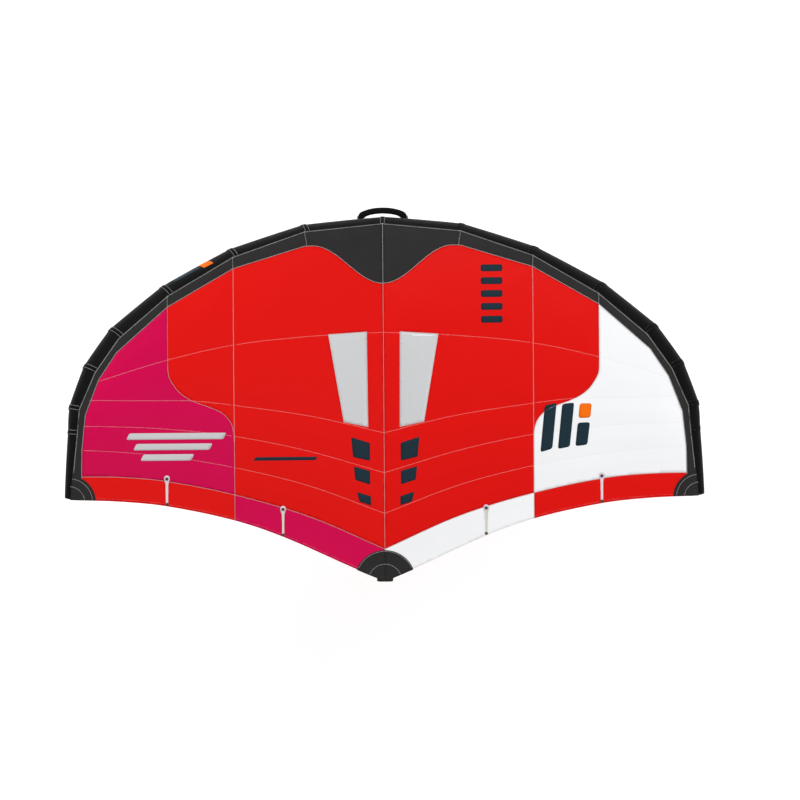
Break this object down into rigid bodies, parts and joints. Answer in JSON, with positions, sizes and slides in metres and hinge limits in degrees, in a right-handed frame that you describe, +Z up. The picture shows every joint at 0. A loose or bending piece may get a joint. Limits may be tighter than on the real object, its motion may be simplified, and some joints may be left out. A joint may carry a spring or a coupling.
{
  "type": "inflatable wing-foil wing",
  "caption": "Hand-held inflatable wing with a curved air tube as leading edge, one air strut, a thin cambered canopy, windows, battens and swinging handles.",
  "frame": {"origin": "middle of the front handle's grip, under the centre strut", "axes": "+Z up through the canopy, +X to the wing's own left along its span, -Y forwards through the leading edge"},
  "size_m": [2.7796, 1.6335, 0.5438],
  "materials": {
    "sleeve_cloth": "coated polyester",
    "strut_cloth": "coated polyester",
    "tape_cloth": "matt tape",
    "dark_cloth": "coated ripstop",
    "red_cloth": "coated ripstop",
    "magenta_cloth": "coated ripstop",
    "white_cloth": "coated ripstop",
    "pocket_cloth": "woven tape",
    "bladder_film": "clear film",
    "window_film": "clear film",
    "batten_rod": "glass fibre",
    "handle_core": "moulded",
    "grip_foam": "closed-cell foam",
    "webbing": "woven webbing",
    "valve_plastic": "moulded",
    "cap_plastic": "moulded",
    "stem_plastic": "moulded",
    "clip_plastic": "moulded",
    "hose_rubber": "satin",
    "spring_steel": "drawn wire",
    "ring_steel": "polished",
    "zip_tape": "woven tape",
    "slider_metal": "coated"
  },
  "bodies": {
    "wing": {"le_sleeve_left_1": "sleeve_cloth", "le_sleeve_left_2": "sleeve_cloth", "le_sleeve_left_3": "sleeve_cloth", "le_sleeve_left_4": "sleeve_cloth", "le_sleeve_left_5": "sleeve_cloth", "le_sleeve_left_6": "sleeve_cloth", "le_sleeve_left_7": "sleeve_cloth", "le_sleeve_left_8": "sleeve_cloth", "le_sleeve_right_1": "sleeve_cloth", "le_sleeve_right_2": "sleeve_cloth", "le_sleeve_right_3": "sleeve_cloth", "le_sleeve_right_4": "sleeve_cloth", "le_sleeve_right_5": "sleeve_cloth", "le_sleeve_right_6": "sleeve_cloth", "le_sleeve_right_7": "sleeve_cloth", "le_sleeve_right_8": "sleeve_cloth", "le_bladder": "bladder_film", "joint_tapes": "tape_cloth", "le_panel_left": "dark_cloth", "le_panel_right": "dark_cloth", "centre_panel_left": "red_cloth", "centre_panel_right": "red_cloth", "tip_panel_left": "magenta_cloth", "tip_panel_right": "white_cloth", "te_band_left_inner": "magenta_cloth", "te_band_left_outer": "red_cloth", "te_band_right_inner": "white_cloth", "te_band_right_outer": "red_cloth", "window_left": "window_film", "window_right": "window_film", "te_centre_patch": "dark_cloth", "tip_patch_left": "dark_cloth", "tip_patch_right": "dark_cloth", "batten_pockets": "pocket_cloth", "battens": "batten_rod", "strut_sleeve": "strut_cloth", "strut_bladder": "bladder_film", "strut_end_cap": "dark_cloth", "front_handle_anchors": "webbing", "rear_handle_anchors": "webbing", "le_handle_anchors": "webbing", "inflation_valve_body": "valve_plastic", "valve_spring": "spring_steel", "dump_valve_body": "valve_plastic", "bridge_hose": "hose_rubber", "hose_nipples": "valve_plastic", "hose_clip": "clip_plastic", "webbing_loops": "webbing", "strut_zip": "zip_tape"},
    "le_handle": {"le_handle": "webbing"},
    "front_handle": {"front_handle": "handle_core", "front_handle_grip": "grip_foam"},
    "rear_handle": {"rear_handle": "handle_core", "rear_handle_grip": "grip_foam"},
    "valve_cap": {"valve_cap": "cap_plastic"},
    "valve_stem": {"valve_stem": "stem_plastic"},
    "dump_cap": {"dump_valve_cap": "cap_plastic"},
    "clip_lever": {"hose_clip_lever": "cap_plastic"},
    "zip_slider": {"zip_slider": "slider_metal"},
    "leash_ring": {"leash_ring": "ring_steel"}
  },
  "joints": [
    {"name": "nose_handle_swing", "type": "hinge", "parent": "wing", "child": "le_handle", "pos_m": [0, -0.52482, 0.04515], "axis": [1, 0, 0], "range_deg": [-30, 30]},
    {"name": "front_handle_swing", "type": "hinge", "parent": "wing", "child": "front_handle", "pos_m": [0, -0.00082, 0.075], "axis": [0, 0.9999, 0.0109], "range_deg": [-55, 55]},
    {"name": "rear_handle_swing", "type": "hinge", "parent": "wing", "child": "rear_handle", "pos_m": [0, 0.47918, 0.05636], "axis": [0, 0.997, -0.0769], "range_deg": [-55, 55]},
    {"name": "valve_cap_hinge", "type": "hinge", "parent": "wing", "child": "valve_cap", "pos_m": [-0.2, -0.39292, 0.00683], "axis": [1, 0, 0], "range_deg": [0, 110]},
    {"name": "valve_stem_press", "type": "slide", "parent": "wing", "child": "valve_stem", "axis": [0, 0, 1], "range_m": [0, 0.004], "stiffness_N_per_m": 250, "springref_m": -0.003, "deforming": ["valve_spring"]},
    {"name": "dump_cap_hinge", "type": "hinge", "parent": "wing", "child": "dump_cap", "pos_m": [0, 0.86818, 0.03455], "axis": [1, 0, 0], "range_deg": [0, 110]},
    {"name": "clip_lever_hinge", "type": "hinge", "parent": "wing", "child": "clip_lever", "pos_m": [0.16023, -0.27482, 0.13302], "axis": [0, 1, 0], "range_deg": [0, 95]},
    {"name": "zip_slide", "type": "slide", "parent": "wing", "child": "zip_slider", "axis": [0, 0.9958, -0.0918], "range_m": [0, 0.105]},
    {"name": "leash_ring_swing", "type": "hinge", "parent": "wing", "child": "leash_ring", "pos_m": [0, -0.48746, -0.02198], "axis": [1, 0, 0], "range_deg": [-60, 60]}
  ]
}
